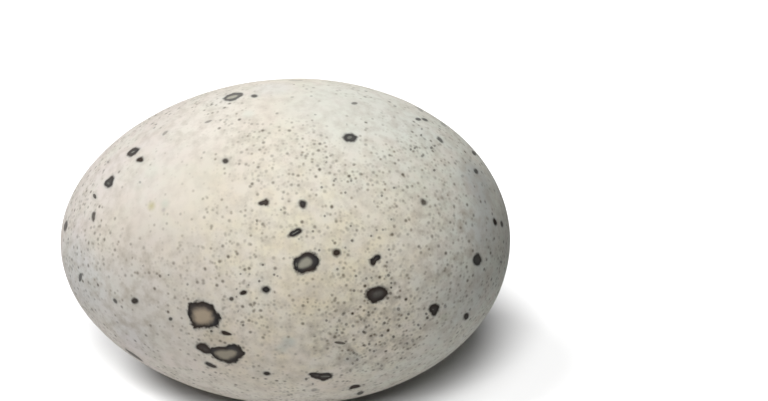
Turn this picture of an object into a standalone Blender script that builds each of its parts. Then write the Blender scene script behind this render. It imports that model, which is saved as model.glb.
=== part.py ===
# A whole duck egg lying on its side, in metres, +Z up.
#
# The shell is a solid of revolution round the egg's long axis, blunt end towards +X. It lies the way a free
# egg comes to rest on a table: its centre of mass is straight above the spot that it touches, which tips the
# blunt end up by two and a half degrees. That spot is cut flat, a fifth of a millimetre deep, and its middle
# is the origin.

import math

import bmesh
import bpy
import numpy as np
from mathutils import Matrix, Vector

EGG_LENGTH = 0.0630
EGG_WIDTH = 0.0455
# How far the outline leaves an ellipse's: LOPSIDED widens the blunt half and narrows the pointed one, and
# a FULLNESS below zero makes both ends a little slimmer.
LOPSIDED = 0.048
FULLNESS = -0.020
REST_SPOT_DEPTH = 0.0002

# Facets: points on the half outline from end to end, and steps of the turn round the long axis.
OUTLINE_POINTS = 45
TURN_STEPS = 64
# Points that find the centre of mass and the point of rest, finer than the facets.
FINE_POINTS = 4001
WELD_DISTANCE = 0.000001

SHELL_COLOUR = (0.70, 0.67, 0.59, 1.0)
SHELL_ROUGHNESS = 0.5


def clear_scene():
    """Removes every object of the scene."""
    for obj in list(bpy.data.objects):
        bpy.data.objects.remove(obj)


def swell(t):
    """Radius of the outline before it is scaled to the egg's width.

    t runs from 0 at the blunt end to pi at the pointed one. The radius is sin t, as on an ellipse, times
    1 + LOPSIDED cos t + FULLNESS cos^2 t.
    """
    return np.sin(t) * (1.0 + LOPSIDED * np.cos(t) + FULLNESS * np.cos(t) ** 2)


def outline(count):
    """Distance along the long axis and radius there, from the blunt end to the pointed one.

    The distance is half the length times cos t, and the radius is the swell at t, scaled so that the widest
    place has the egg's width.
    """
    t = np.linspace(0.0, math.pi, count)
    widest = swell(np.linspace(0.0, math.pi, FINE_POINTS)).max()
    along = EGG_LENGTH / 2 * np.cos(t)
    radius = EGG_WIDTH / 2 * swell(t) / widest
    radius[[0, -1]] = 0.0
    return along, radius


def resting_point():
    """Centre of mass on the axis, and the outline's nearest point to it, where the egg touches the table."""
    along, radius = outline(FINE_POINTS)
    slab = -np.diff(along)
    middle = (along[1:] + along[:-1]) / 2
    area = ((radius[1:] + radius[:-1]) / 2) ** 2
    centre = float((middle * area * slab).sum() / (area * slab).sum())
    nearest = int(np.hypot(along - centre, radius).argmin())
    centre_of_mass = Vector((centre, 0.0, 0.0))
    touch = Vector((float(along[nearest]), 0.0, -float(radius[nearest])))
    return centre_of_mass, touch


def turned_shell():
    """The closed shell: the half outline turned once round the long axis, its seam and ends welded."""
    bm = bmesh.new()
    along, radius = outline(OUTLINE_POINTS)
    points = [bm.verts.new((float(x), 0.0, float(r))) for x, r in zip(along, radius)]
    edges = [bm.edges.new(pair) for pair in zip(points[:-1], points[1:])]
    bmesh.ops.spin(
        bm,
        geom=points + edges,
        cent=(0.0, 0.0, 0.0),
        axis=(1.0, 0.0, 0.0),
        angle=math.tau,
        steps=TURN_STEPS,
        use_duplicate=False,
    )
    bmesh.ops.remove_doubles(bm, verts=bm.verts[:], dist=WELD_DISTANCE)
    bmesh.ops.recalc_face_normals(bm, faces=bm.faces[:])
    return bm


def cut_rest_spot(bm, centre_of_mass, touch):
    """Slices a thin cap off the shell where it touches the table, and closes the hole with one flat face."""
    outward = (touch - centre_of_mass).normalized()
    cut = bmesh.ops.bisect_plane(
        bm,
        geom=bm.verts[:] + bm.edges[:] + bm.faces[:],
        dist=WELD_DISTANCE,
        plane_co=touch - outward * REST_SPOT_DEPTH,
        plane_no=outward,
        clear_outer=True,
    )
    rim = [item for item in cut["geom_cut"] if isinstance(item, bmesh.types.BMEdge)]
    bmesh.ops.contextual_create(bm, geom=rim)
    bmesh.ops.recalc_face_normals(bm, faces=bm.faces[:])
    for edge in rim:
        edge.smooth = False


def shell_material():
    """Bare eggshell: chalky cream with a faint sheen."""
    material = bpy.data.materials.new("eggshell")
    material.use_nodes = True
    shader = material.node_tree.nodes["Principled BSDF"]
    shader.inputs["Base Color"].default_value = SHELL_COLOUR
    shader.inputs["Roughness"].default_value = SHELL_ROUGHNESS
    shader.inputs["Metallic"].default_value = 0.0
    return material


def make_egg():
    """The egg, turned about Y so that its centre of mass is straight above the rest spot at the origin."""
    centre_of_mass, touch = resting_point()
    bm = turned_shell()
    cut_rest_spot(bm, centre_of_mass, touch)
    mesh = bpy.data.meshes.new("egg")
    bm.to_mesh(mesh)
    bm.free()
    for face in mesh.polygons:
        face.use_smooth = True
    mesh.materials.append(shell_material())

    egg = bpy.data.objects.new("egg", mesh)
    bpy.context.scene.collection.objects.link(egg)
    reach = touch - centre_of_mass
    tip = math.atan2(reach.x, -reach.z)
    turn = Matrix.Rotation(tip, 4, "Y")
    height = Vector((0.0, 0.0, reach.length - REST_SPOT_DEPTH))
    egg.rotation_euler = turn.to_euler()
    egg.location = height - turn @ centre_of_mass
    return egg


clear_scene()
make_egg()
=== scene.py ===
# %% [markdown]
# # A speckled duck egg
#
# The real thing is a closed shell of chalk, 63 mm long and 45.5 mm wide, that lies on its side with its
# blunt end to the right. It is one piece, so this lesson makes one mesh. Its rings, spots and specks are
# pigment that the duck laid on the shell. They have no thickness, so they are drawn by the material: rings,
# spots and the larger specks from places that the mesh carries, the finest specks by a pattern.

import math

import bpy
import numpy as np
from mathutils import Matrix, Vector
from mathutils.bvhtree import BVHTree


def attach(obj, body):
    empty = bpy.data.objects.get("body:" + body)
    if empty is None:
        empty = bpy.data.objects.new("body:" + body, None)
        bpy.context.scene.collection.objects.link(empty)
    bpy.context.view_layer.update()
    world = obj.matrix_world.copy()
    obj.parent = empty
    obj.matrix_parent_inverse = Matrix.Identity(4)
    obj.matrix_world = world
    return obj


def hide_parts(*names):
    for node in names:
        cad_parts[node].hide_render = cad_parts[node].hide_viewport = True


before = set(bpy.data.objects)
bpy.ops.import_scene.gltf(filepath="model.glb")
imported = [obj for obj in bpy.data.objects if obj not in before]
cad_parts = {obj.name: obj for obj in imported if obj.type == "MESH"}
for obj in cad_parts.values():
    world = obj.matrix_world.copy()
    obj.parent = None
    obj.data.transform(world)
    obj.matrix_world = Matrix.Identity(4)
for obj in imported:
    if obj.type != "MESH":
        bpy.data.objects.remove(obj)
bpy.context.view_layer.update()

# %% [markdown]
# ## The outline of an egg
#
# An egg is a solid of revolution. Its outline could be drawn as a curve and spun, but a formula is exact
# and its numbers mean something: an ellipse whose radius is swelled towards the blunt end. The lengths are
# in metres, as everything in the frame is.

# %% Sizes of the egg
EGG_LENGTH = 0.0630
EGG_WIDTH = 0.0455
LOPSIDED = 0.048
FULLNESS = -0.020
REST_SPOT_DEPTH = 0.0002
FINE_POINTS = 4001
MM = 0.001


def swell(c):
    """How far the outline leaves an ellipse: 1 + LOPSIDED c + FULLNESS c squared, c being the cosine of t."""
    return 1.0 + LOPSIDED * c + FULLNESS * c ** 2


t = np.linspace(0.0, math.pi, FINE_POINTS)
widest = (np.sin(t) * swell(np.cos(t))).max()
print("widest place of the plain outline:", round(float(widest), 5))

# %% [markdown]
# ## How it lies
#
# A free egg rolls until its centre of mass is straight above the point it stands on. That point is the
# place of the outline nearest to the centre of mass, and turning the egg about Y until it points down gives
# the tilt. A fifth of a millimetre is cut off there, which is the flat that the solid part rests on.

# %% Find the resting place
along = EGG_LENGTH / 2 * np.cos(t)
radius = EGG_WIDTH / 2 * np.sin(t) * swell(np.cos(t)) / widest
# The centre of mass is the mean of the middles of thin slabs, each weighed by its radius squared times its
# thickness.
slab = -np.diff(along)
slab_middle = (along[1:] + along[:-1]) / 2
slab_area = ((radius[1:] + radius[:-1]) / 2) ** 2
centre_of_mass = float((slab_middle * slab_area * slab).sum() / (slab_area * slab).sum())
nearest = int(np.hypot(along - centre_of_mass, radius).argmin())
reach = Vector((float(along[nearest]) - centre_of_mass, 0.0, -float(radius[nearest])))
tip = math.atan2(reach.x, -reach.z)
mass_height = reach.length - REST_SPOT_DEPTH
lying = Matrix.Translation((0.0, 0.0, mass_height)) @ Matrix.Rotation(tip, 4, "Y")
lying = np.array(lying @ Matrix.Translation((-centre_of_mass, 0.0, 0.0)))
print("tilt:", round(math.degrees(tip), 2), "degrees")
print("centre of mass:", round(mass_height / MM, 2), "mm above the table")

# %% [markdown]
# ## From a sphere to the shell
#
# Every point of the shell comes from one point of a sphere: its X, the cosine of t, says how far along the
# egg it lies, and the other two are scaled by the egg's width and swell. A real shell is never quite
# smooth, so long waves, some hundredths of a millimetre high, are laid over it. They barely show, and keep
# its shine from looking machined.

# %% Shell formula
RIPPLE_HEIGHT = 0.022 * MM
RIPPLE_LENGTH = 9.0 * MM
RIPPLE_WAVES = 24
RIPPLE_SEED = 11
# Fewest and most waves to the metre, as shares of the number that the length above gives.
RIPPLE_SPREAD = (0.6, 1.5)
ripple_dice = np.random.default_rng(RIPPLE_SEED)
ripple_ways = ripple_dice.normal(size=(RIPPLE_WAVES, 3))
ripple_ways /= np.linalg.norm(ripple_ways, axis=1, keepdims=True)
ripple_ways *= 2 * math.pi / RIPPLE_LENGTH * ripple_dice.uniform(*RIPPLE_SPREAD, (RIPPLE_WAVES, 1))
ripple_shifts = ripple_dice.uniform(0.0, 2 * math.pi, RIPPLE_WAVES)
print("waves of the ripple:", len(ripple_shifts))


def shell_from_sphere(s):
    """Points of the shell for points s of the unit sphere.

    Along the egg: half the length times s.x. Across it: half the width times swell(s.x), divided by the
    widest place, times s.y and s.z. Then the ripple, along s: the sum of sine waves in fixed random
    directions, times their height over the square root of their number. Then the turn and shift that lay
    the egg down, and no point lower than the table.
    """
    across = EGG_WIDTH / 2 * swell(s[..., 0:1]) / widest
    points = np.concatenate([EGG_LENGTH / 2 * s[..., 0:1], across * s[..., 1:3]], axis=-1)
    waves = np.sin(points @ ripple_ways.T + ripple_shifts).sum(axis=-1, keepdims=True)
    points = points + s * waves * RIPPLE_HEIGHT / math.sqrt(RIPPLE_WAVES)
    points = points @ lying[:3, :3].T + lying[:3, 3]
    points[..., 2] = np.maximum(points[..., 2], 0.0)
    return points


# %% [markdown]
# ## A net without poles
#
# A globe's grid crowds its faces at the two ends. Blowing up a cube instead gives six patches of nearly
# square cells, so the ends of the egg are as well made as its belly. Four patches go round the long axis
# and one closes each end. Their shared edges have the same points, which are then merged, so the shell is
# closed.

# %% Grids of the six patches
STEPS_LENGTHWISE = 144
STEPS_ROUND = 104
X, Y, Z = np.eye(3)


def sphere_patch(outward, lengthwise, steps):
    """One sixth of a sphere: outward + tan(pi/4 u) lengthwise + tan(pi/4 v) across, brought to a length of 1.

    u and v run from -1 to 1, across is square to the other two, and the tangent keeps the cells of even
    size.
    """
    u = np.tan(math.pi / 4 * np.linspace(-1.0, 1.0, steps[0] + 1))[:, None, None]
    v = np.tan(math.pi / 4 * np.linspace(-1.0, 1.0, steps[1] + 1))[None, :, None]
    points = outward + u * lengthwise + v * np.cross(outward, lengthwise)
    return points / np.linalg.norm(points, axis=-1, keepdims=True)


def grid_faces(rows, columns, first):
    """Four corners of each cell of a grid whose points are numbered row by row from first."""
    number = first + np.arange(rows * columns).reshape(rows, columns)
    corners = [number[:-1, :-1], number[1:, :-1], number[1:, 1:], number[:-1, 1:]]
    return np.stack(corners, axis=-1).reshape(-1, 4)


side_steps = (STEPS_LENGTHWISE, STEPS_ROUND)
end_steps = (STEPS_ROUND, STEPS_ROUND)
patches = [(way, X, side_steps) for way in (Y, Z, -Y, -Z)] + [(way, Y, end_steps) for way in (X, -X)]
sphere_points, faces = [], []
point_count = 0
for outward, lengthwise, steps in patches:
    grid = sphere_patch(outward, lengthwise, steps)
    faces.append(grid_faces(grid.shape[0], grid.shape[1], point_count))
    sphere_points.append(grid.reshape(-1, 3))
    point_count += len(sphere_points[-1])
sphere_points = np.concatenate(sphere_points)
faces = np.concatenate(faces)
print("cells:", len(faces), "points before merging:", point_count)

# %% Merge the shared edges
WELD_GRID = 1e-6
keys = np.round(sphere_points / WELD_GRID).astype(np.int64)
_, kept, merged = np.unique(keys, axis=0, return_index=True, return_inverse=True)
sphere_points = sphere_points[kept]
faces = merged.reshape(-1)[faces]
places = shell_from_sphere(sphere_points)
print("points:", len(places), "size in mm:", np.round((places.max(0) - places.min(0)) / MM, 2))

# %% [markdown]
# ## The shell as a mesh, with its map
#
# The grid becomes one mesh, smooth all over. Its map lays the six patches side by side in a square, as a
# tailor would lay them on cloth: nothing overlaps, and a millimetre of shell has much the same size
# everywhere. The patterns below don't need the map, but colours can be painted or baked through it.

# %% Shell mesh
shell_mesh = bpy.data.meshes.new("egg_shell")
shell_mesh.from_pydata(places.tolist(), [], faces.tolist())
shell_mesh.polygons.foreach_set("use_smooth", np.ones(len(faces), dtype=bool))
egg_shell = bpy.data.objects.new("egg_shell", shell_mesh)
bpy.context.scene.collection.objects.link(egg_shell)
print("faces:", len(shell_mesh.polygons))

# %% Map of the shell
SIDE_COLUMN = 0.345
END_COLUMN = 0.310
MAP_ROW = 0.5
MAP_MARGIN = 0.002
spots_on_map = []
for number, wide in enumerate((SIDE_COLUMN, SIDE_COLUMN, END_COLUMN)):
    spots_on_map += [(number * SIDE_COLUMN, low, wide) for low in (0.0, MAP_ROW)]
map_corners = []
for (left, low, wide), (_, _, steps) in zip(spots_on_map, patches):
    rise = low + MAP_MARGIN + (MAP_ROW - 2 * MAP_MARGIN) * np.linspace(0.0, 1.0, steps[0] + 1)
    run = left + MAP_MARGIN + (wide - 2 * MAP_MARGIN) * np.linspace(1.0, 0.0, steps[1] + 1)
    spread = np.stack(np.broadcast_arrays(run[None, :], rise[:, None]), axis=-1).reshape(-1, 2)
    map_corners.append(spread[grid_faces(steps[0] + 1, steps[1] + 1, 0)].reshape(-1, 2))
shell_map = shell_mesh.uv_layers.new(name="OFBake")
shell_map.uv.foreach_set("vector", np.concatenate(map_corners).astype(np.float32).ravel())
shell_mesh.validate()
print("corners:", len(shell_mesh.loops), "map:", shell_map.name)

# %% [markdown]
# ## The camera
#
# The camera looks almost square at the egg's side, down by 26 degrees and from 0.4 m away. The egg fills
# the left and the bottom of the picture, so the lens doesn't point at its middle: the camera is moved right
# and up until the egg's centre of mass falls on its own pixel.

# %% Camera
PICTURE_WIDTH, PICTURE_HEIGHT = 768, 401
SENSOR_WIDTH = 36.0
LENS = 134.0
AZIMUTH = math.radians(3.74)
ELEVATION = math.radians(26.0)
DISTANCE = 0.40
EGG_PIXEL = (289.2, 241.4)

# The lens's focal length, counted in pixels.
focus = LENS / SENSOR_WIDTH * PICTURE_WIDTH
level = Vector((math.sin(AZIMUTH), -math.cos(AZIMUTH), 0.0))
backward = level * math.cos(ELEVATION) + Vector((0.0, 0.0, math.sin(ELEVATION)))
sight = -backward
rightward = Vector((math.cos(AZIMUTH), math.sin(AZIMUTH), 0.0))
upward = rightward.cross(sight)
offset_right = (EGG_PIXEL[0] - PICTURE_WIDTH / 2) / focus * DISTANCE
offset_up = -(EGG_PIXEL[1] - PICTURE_HEIGHT / 2) / focus * DISTANCE
eye = Vector((0.0, 0.0, mass_height)) - rightward * offset_right - upward * offset_up - sight * DISTANCE

camera_data = bpy.data.cameras.new("camera")
camera_data.lens = LENS
camera_data.sensor_width = SENSOR_WIDTH
camera_data.clip_start = 0.01
camera_data.clip_end = 10.0
camera = bpy.data.objects.new("camera", camera_data)
camera.rotation_euler = Matrix((rightward, upward, backward)).transposed().to_euler()
camera.location = eye
bpy.context.scene.collection.objects.link(camera)
bpy.context.scene.camera = camera
print("camera at", tuple(round(c, 4) for c in eye))

# %% [markdown]
# ## Where a mark sits on the shell
#
# A duck's pigment lies in rings, blots and dots. Each is outlined here by pixels of the picture, and a
# sight line through each pixel finds the same point on the shell, so a mark near the edge gets its true,
# wider shape. The outline is then kept as a mark of its own: its middle, the flat plane that touches the
# shell there, the ellipse that fits best, and how far the outline leaves that ellipse in each direction.

# %% From a pixel to the shell
shell_tree = BVHTree.FromPolygons([tuple(p) for p in places.tolist()], faces.tolist())
OUTLINE_SPLITS = 8
MARK_DIRECTIONS = np.linspace(-math.pi, math.pi, 48, endpoint=False)
ROUND_AN_OVAL = np.linspace(0.0, 2 * math.pi, 24, endpoint=False)
SOFTEST_SHARE = 0.5
EDGE_OUTSET = 0.06 * MM


def seen_point(pixel):
    """Where the sight line through a pixel meets the shell, and the way out of the shell there."""
    right = (pixel[0] - PICTURE_WIDTH / 2) / focus
    up = -(pixel[1] - PICTURE_HEIGHT / 2) / focus
    place, outward, _, _ = shell_tree.ray_cast(eye, rightward * right + upward * up + sight)
    if place is None:
        raise ValueError(f"pixel {pixel} isn't on the egg")
    return np.array(place), np.array(outward)


def oval(x, y, width, height, lean=0.0):
    """Pixels of an ellipse of that width and height round (x, y), turned by lean degrees, right side up."""
    a = width / 2 * np.cos(ROUND_AN_OVAL)
    b = height / 2 * np.sin(ROUND_AN_OVAL)
    c, s = math.cos(math.radians(lean)), math.sin(math.radians(lean))
    return list(zip(x + a * c - b * s, y - a * s - b * c))


def tangent_axes(outward):
    """Two directions square to outward and to each other, the first of them level."""
    first = np.cross(Z, outward)
    first /= np.linalg.norm(first)
    return np.stack([first, np.cross(outward, first)])


def mark_of(middle, outward, rim, ink):
    """A mark: its middle, its plane's axes, the matrix that makes its ellipse a circle, and its outline.

    rim holds points of the outline in the plane. Points of an ellipse vary by half its radii squared, so
    the matrix is the inverse root of twice their covariance. The outline is kept as the length of the
    squeezed rim in equally spaced directions, joined by straight lines and smoothed once over its
    neighbours. A narrow mark's edge is no softer than SOFTEST_SHARE of its smaller radius, or the mark
    would fade away.
    """
    spread, ways = np.linalg.eigh(2 * rim.T @ rim / len(rim))
    squeeze = ways @ np.diag(1 / np.sqrt(spread)) @ ways.T
    share = np.linspace(0.0, 1.0, OUTLINE_SPLITS, endpoint=False)[None, :, None]
    ring = rim @ squeeze.T
    ring = (ring[:, None] * (1 - share) + np.roll(ring, -1, axis=0)[:, None] * share).reshape(-1, 2)
    turn = np.arctan2(ring[:, 1], ring[:, 0])
    order = np.argsort(turn)
    length = np.linalg.norm(ring, axis=1)
    reach = np.interp(MARK_DIRECTIONS, turn[order], length[order], period=2 * math.pi)
    reach = (np.roll(reach, 1) + 2 * reach + np.roll(reach, -1)) / 4
    size = float(np.linalg.norm(rim, axis=1).max())
    strength, brown, soft = ink
    ink = (strength, brown, min(soft, SOFTEST_SHARE * math.sqrt(spread[0]) / MM))
    return dict(middle=middle, axes=tangent_axes(outward), squeeze=squeeze, reach=reach, size=size, ink=ink)


def seen_mark(pixels, ink, outset=EDGE_OUTSET):
    """The mark whose outline is seen at those pixels.

    A soft edge looks half dark where it is two thirds covered, so the outline is pushed out by a hair.
    """
    centre = np.mean(pixels, axis=0)
    middle, outward = seen_point(centre)
    rim = (np.array([seen_point(p)[0] for p in pixels]) - middle) @ tangent_axes(outward).T
    rim *= 1 + outset / np.linalg.norm(rim, axis=1, keepdims=True)
    return mark_of(middle, outward, rim, ink)


print("the egg's middle pixel meets the shell at", np.round(seen_point(EGG_PIXEL)[0] / MM, 1), "mm")

# %% [markdown]
# ## The rings and blots that are seen
#
# The largest marks are rings: pigment dried like a coffee stain, dark at its rim and pale in its middle.
# The places and outlines below are pixels read off the picture. An ink has three numbers: how strong it
# is, how brown against blue-black, and how soft its edge is in millimetres.

# %% Large marks
DARK, BROWN = (1.0, 0.4, 0.24), (1.0, 0.95, 0.24)
THIN, FAINT = (0.85, 0.4, 0.22), (0.45, 0.5, 0.25)
seen_marks = {
    "big_ring": ([
        (187.4, 303.2), (190.5, 302.6), (193.5, 303), (196, 301.8), (200, 301), (204.5, 300.7),
        (207.5, 302.4), (211.9, 304.4), (213.2, 308), (214.8, 310.2), (217.6, 312.6), (219.8, 316.2),
        (219.4, 320.4), (218.4, 323.2), (218, 327.3), (213, 327.5), (208.5, 327.2), (204, 327.8),
        (199.5, 328.9), (196, 328.5), (192.6, 326.7), (190.3, 320.6), (188, 315), (187.6, 308.5),
    ], DARK),
    "lower_ring": ([
        (208, 349), (211, 347.4), (215, 346.8), (220, 346.8), (225, 346.8), (228, 345.2), (231.5, 344.2),
        (236, 344.4), (239.5, 346), (241.6, 348.8), (244, 351), (245.4, 353.8), (243.6, 356.4),
        (240, 357.6), (238, 359.3), (236.3, 361.9), (233, 363), (228, 363), (223, 361.8), (218, 359.8),
        (214, 357.4), (211, 354.6), (208.8, 352.2),
    ], DARK),
    "lower_blot": ([
        (195.4, 346.5), (197, 344.2), (201, 343.2), (204.8, 343.6), (207.4, 345.4), (209.6, 347.6),
        (212.6, 350.4), (211.6, 353.6), (206, 354.2), (202.5, 352.2), (200, 350.2), (197, 349.2),
    ], BROWN),
    "middle_ring": ([
        (292.8, 263.5), (293.4, 260), (295.6, 257.6), (298.8, 256.8), (300, 254.9), (302.2, 252.9),
        (305, 252.4), (309, 252.5), (313.2, 252.7), (315.4, 254.3), (317.2, 256.2), (319, 258.8),
        (319.6, 261.5), (318.2, 264.6), (316.2, 267.4), (313.6, 270.9), (309.5, 272.3), (306.5, 273.1),
        (303, 273.6), (298.4, 272.9), (295.5, 270.9), (293.6, 267.2),
    ], DARK),
    "slanted_blot": ([
        (286.6, 234.2), (289.5, 233.4), (291.5, 231.3), (294.5, 229.7), (297.5, 228.4), (300.5, 228.7),
        (302.6, 229.7), (302.3, 231.8), (299.5, 233.8), (296, 235.8), (292.5, 237.3), (289.6, 236.6),
    ], DARK),
    "right_blot": ([
        (366.5, 294), (366.7, 290.5), (368.5, 289.1), (371.8, 288.6), (374.6, 287.8), (376, 286.2),
        (379.6, 286.1), (382.8, 286.9), (385.8, 288.2), (388, 290.5), (387.6, 293.8), (386, 297.2),
        (383.4, 299), (380, 300.2), (377.6, 302.2), (373.6, 303.4), (369.2, 301.8), (367.2, 298.2),
    ], DARK),
    "edge_blot": ([
        (432, 304.3), (435, 304), (438, 304.3), (439.3, 306), (439, 309), (438, 311.5), (436.3, 313),
        (435.8, 315.3), (433.5, 316.3), (431.6, 314.8), (430.8, 312.8), (429, 311.8), (428.3, 309.5),
        (429, 307), (430.6, 305.8),
    ], DARK),
    "upper_blot": ([
        (343.5, 138), (344.2, 135.2), (346, 133.6), (349, 133.3), (352, 133.5), (354, 135), (357.6, 136.8),
        (356.2, 139), (354.8, 141.8), (352, 142.2), (349.5, 141.2), (346.5, 141.8), (344.3, 140.3),
    ], (0.95, 0.3, 0.24)),
    "bottom_dash": ([
        (307.9, 374.2), (309.5, 372.8), (313, 372.6), (316.5, 372.4), (319.5, 373.4), (322.5, 373.2),
        (327, 373), (331.5, 372.9), (332.4, 375), (331.8, 377.5), (329, 379), (326.5, 380.2),
        (323.5, 380.9), (320.5, 380), (318, 379), (314.5, 378.3), (311.8, 377.6), (310, 375.8),
    ], DARK),
    "lobes": ([
        (374.3, 255.6), (377, 254.6), (380, 255), (380.8, 257.5), (379.8, 259.8), (377, 260.8),
        (375.8, 262.5), (375.2, 265), (373, 266), (370.8, 264.5), (370.2, 262), (368.8, 259.6),
        (370.5, 258.6), (372.5, 258.9),
    ], DARK),
    "violet_spot": ([
        (472.7, 259), (473.6, 256.2), (475.6, 254.2), (477.6, 253.2), (479.2, 254.2), (480.2, 256.5),
        (481.4, 258.8), (481.8, 261), (480.4, 263.3), (478.8, 264.9), (476.8, 265.3), (474.6, 264.2),
        (473.1, 262.5),
    ], (0.94, 0.1, 0.22)),
    "left_ring": ([
        (127.2, 155.6), (127.8, 152.8), (130, 150.5), (132.5, 148.6), (135.5, 147.4), (138, 147.6),
        (139.2, 149.3), (138.2, 151.2), (136.3, 152.8), (134.6, 155), (132.2, 155.8), (130, 156.6),
    ], (0.95, 0.3, 0.22)),
    "teardrop": ([
        (104, 184.5), (104.8, 182), (106.5, 180.2), (109, 178.6), (110.5, 177), (111.7, 175.7),
        (113.5, 176), (114.4, 177.6), (113.4, 179.8), (112.8, 182), (112.7, 184.2), (111, 186.5),
        (108.5, 187.8), (106.3, 187), (104.8, 185.9),
    ], (0.95, 0.25, 0.22)),
}
print("large marks:", len(seen_marks))

# %% Middle-sized marks
seen_marks |= {
    "top_ring": ([
        (223.3, 98.6), (225, 96.8), (227.5, 95.3), (231, 93.8), (234.5, 92.8), (238, 92.6), (241.5, 93.3),
        (243.2, 94.8), (241.5, 96), (239.5, 97), (238, 98.6), (235, 99.8), (231.5, 100.9), (228, 100.9),
        (225, 100.4),
    ], (0.85, 0.2, 0.2)),
    "left_triangle": ([
        (136, 160), (138, 158.3), (140.5, 157.3), (142.6, 156.4), (142.7, 159), (143.4, 160.8),
        (141.8, 162.1), (139.5, 161.9), (137, 161.3),
    ], BROWN),
    "left_comma": ([
        (92, 213.5), (94, 212), (95.8, 212.3), (95.2, 214.5), (94.8, 217), (94.6, 220.5), (93.2, 221.5),
        (92.2, 219), (91.8, 216),
    ], THIN),
    "wedge": ([
        (221.5, 331), (224, 330.4), (226.5, 331.7), (229.5, 332.9), (231.9, 334.2), (228.5, 335.3),
        (224.5, 335), (222.2, 333.6),
    ], BROWN),
    "low_dash": ([
        (205, 362.7), (208, 361.9), (211, 363.5), (214.5, 365.2), (217.4, 367), (214.5, 368), (211, 367.1),
        (207.8, 365.7), (205.9, 364.4),
    ], (0.96, 0.5, 0.24)),
    "upper_twin": ([
        (257.8, 203.6), (259, 201.8), (261.5, 201), (264, 200.3), (265.5, 199), (267.1, 199.2),
        (268.7, 201), (268.8, 203), (267.8, 204.8), (267.2, 206.4), (265.6, 205.8), (263.8, 204.8),
        (262, 205.3), (259.6, 205.1),
    ], BROWN),
    "upper_spot": ([
        (299, 203), (299.6, 200.8), (301.5, 200.2), (304, 200.7), (306.2, 202), (306.4, 205), (305, 207.1),
        (303.4, 208.3), (301.4, 207.5), (299.9, 205.5),
    ], DARK),
    "twin_spot": ([
        (239.9, 293.8), (240.3, 291.8), (242.3, 291.3), (244.3, 290.2), (246.3, 291), (246.9, 293),
        (245.3, 294.5), (243, 294.4), (241.2, 294.9),
    ], BROWN),
    "round_spot": ([
        (261.9, 290), (262.5, 287.5), (264.5, 286.1), (267, 285.9), (269.1, 287.2), (270.2, 289.5),
        (269.6, 291.7), (267.5, 292.2), (266.2, 293.6), (264.5, 292.4), (262.7, 291.6),
    ], DARK),
    "grey_spot": ([
        (421.4, 203), (420.9, 200.5), (422.8, 198.7), (424.6, 200.4), (426.1, 201.5), (426.9, 203.5),
        (425, 204.9), (423.4, 205.3), (421.9, 204.9),
    ], (0.85, 0.8, 0.3)),
    "bottom_bean": ([
        (349.1, 389), (350.4, 386.8), (352.3, 385.5), (355, 384.9), (358.5, 384.8), (360.4, 385.6),
        (360, 387), (356.5, 387.9), (353.5, 388.5), (351, 389.6),
    ], BROWN),
}
print("large and middle-sized marks:", len(seen_marks))

# %% Small marks
seen_marks |= {
    "top_dot": (oval(254.3, 95.9, 6.0, 2.8), THIN),
    "left_rim_dash": (oval(65.7, 226.0, 3.2, 10, -12), THIN),
    "teardrop_foot": (oval(94.7, 196.3, 2.4, 4.6, 25), THIN),
    "left_smudge": (oval(80.4, 277.4, 2.6, 8.4, -8), (0.8, 0.4, 0.22)),
    "left_dot": (oval(115.2, 301.0, 2.6, 5.2, 38), (0.82, 0.5, 0.22)),
    "left_blot": (oval(134.8, 300.8, 6.4, 5.6), (0.96, 0.8, 0.28)),
    "low_dot": (oval(170.6, 318.9, 3.2, 2.9), THIN),
    "low_spot": (oval(266.9, 373.5, 6.5, 3.7, -8), BROWN),
    "small_dot": (oval(231.5, 298.8, 3.8, 3.2), (0.88, 0.9, 0.2)),
    "upper_dot": (oval(225.3, 160.9, 5.4, 4.8), (0.95, 0.6, 0.2)),
    "brown_spot": (oval(336.6, 252.7, 7.6, 7.0), BROWN),
    "right_dot": (oval(466.2, 316.4, 4.4, 7, -20), DARK),
    "rim_dot": (oval(494.9, 222.0, 3.0, 7, 18), DARK),
    "far_rim_dot": (oval(501.8, 224.0, 2.2, 5.6, 12), THIN),
    "right_high_dot": (oval(476.0, 171.4, 3.2, 5.4, 38), THIN),
    "high_dash": (oval(440.2, 139.8, 2.8, 7.4, 42), (0.8, 0.4, 0.22)),
    "high_pair_left": (oval(418.2, 119.2, 5.0, 2.4, -8), (0.85, 0.4, 0.22)),
    "high_pair_right": (oval(424.8, 119.6, 5.8, 2.2, -22), (0.85, 0.4, 0.22)),
    "rim_streak_top": (oval(420.0, 109.4, 7, 1.8, -38), FAINT),
    "rim_streak_right": (oval(443.6, 124.6, 7, 2.0, -36), FAINT),
    "rim_streak_low": (oval(474.0, 153.0, 5, 2.6, -48), THIN),
    "top_dash": (oval(354.5, 103.3, 5.4, 2.1), (0.7, 0.6, 0.2)),
    "faint_dash": (oval(208.3, 121.6, 6.4, 1.7, 20), (0.52, 0.5, 0.22)),
    "faint_dot": (oval(165.0, 133.0, 5.4, 2.0, 37), FAINT),
    "bottom_smudge": (oval(360.3, 393.0, 6.5, 3, 20), THIN),
    "bottom_line": (oval(314.4, 389.8, 5.6, 2.4, 4), FAINT),
    "low_streak": (oval(340.2, 342.9, 10.5, 2.2, -7), (0.8, 0.9, 0.2)),
    "low_rim_streak": (oval(134.0, 355.2, 22, 2.0, -35), (0.8, 0.8, 0.2)),
    # top_rim_line is only a thin, faint grey line drawn just inside the top edge of the shell.
    "top_rim_line": (oval(296.0, 80.6, 14, 0.9), (0.35, 0.2, 0.2)),
}
seen = [seen_mark(pixels, ink) for pixels, ink in seen_marks.values()]
print("marks:", len(seen), "largest", round(2 * max(m["size"] for m in seen) / MM, 1), "mm across")

# %% Larger specks that are seen
# Each is a round speck: its pixel, its width in pixels and how strong it is.
SPECK_BROWN = 0.9
SPECK_SOFTNESS = 0.12
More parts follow.
